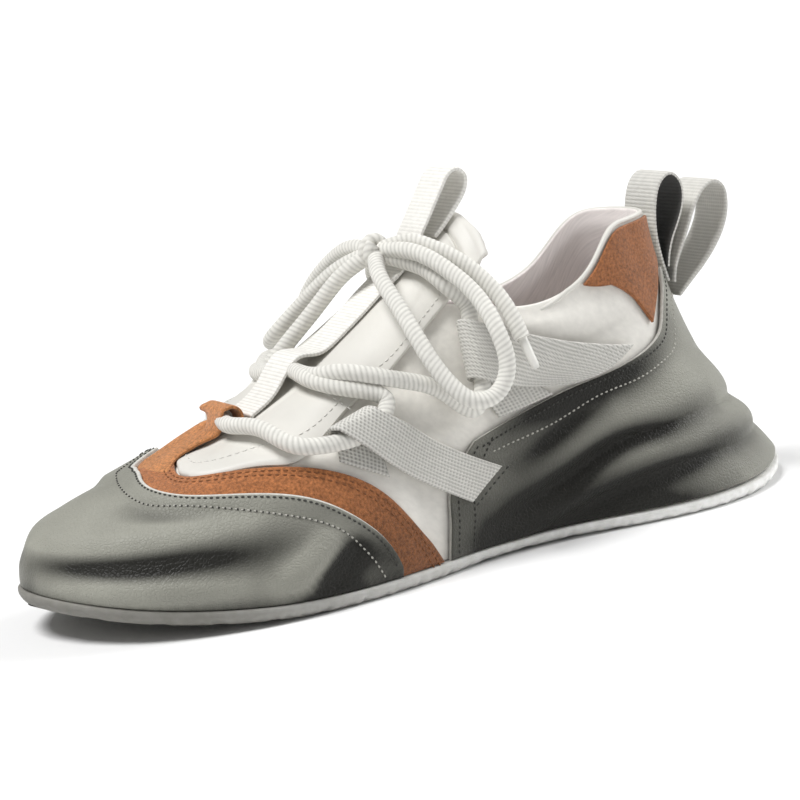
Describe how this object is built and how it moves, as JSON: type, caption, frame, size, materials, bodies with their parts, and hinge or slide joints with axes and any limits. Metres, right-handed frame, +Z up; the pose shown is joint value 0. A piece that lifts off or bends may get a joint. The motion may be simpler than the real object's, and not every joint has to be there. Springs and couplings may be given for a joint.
{
  "type": "casual shoe",
  "caption": "Low casual shoe for the left foot with flared folded heel, leather toe wrap, suede throat band, webbing straps, rope lace and heel pull loops.",
  "frame": {"origin": "on the floor under the middle of the shoe's box, measured without the lace's knot, bow and ends", "axes": "+X from heel to toe, +Y to the outer side of the foot, +Z up"},
  "size_m": [0.305, 0.1107, 0.1355],
  "materials": {
    "grey_rubber": "matt",
    "lining": "soft textile",
    "white_nylon": "satin",
    "white_leather": "smooth",
    "grey_leather": "fine grain, semi matt",
    "rust_suede": "napped",
    "white_webbing": "woven",
    "lace_cord": "braided"
  },
  "bodies": {
    "root": {"outsole": "grey_rubber", "insole": "lining", "upper": "white_nylon", "tongue": "white_leather", "toe_wrap": "grey_leather", "heel_wrap": "grey_leather", "suede_band": "rust_suede", "throat_loop": "rust_suede", "collar_patch_outer": "rust_suede", "collar_patch_inner": "rust_suede", "front_strap_outer": "white_webbing", "front_strap_inner": "white_webbing", "rear_strap_outer": "white_webbing", "rear_strap_inner": "white_webbing", "tongue_strip": "white_webbing", "heel_loop_front": "white_webbing", "heel_loop_rear": "white_webbing", "lace_bars": "lace_cord", "lace_knot": "lace_cord", "bow_outer": "lace_cord", "bow_inner": "lace_cord", "lace_end_outer": "lace_cord", "lace_end_inner": "lace_cord", "lace_tip_outer": "white_leather", "lace_tip_inner": "white_leather"}
  },
  "joints": []
}
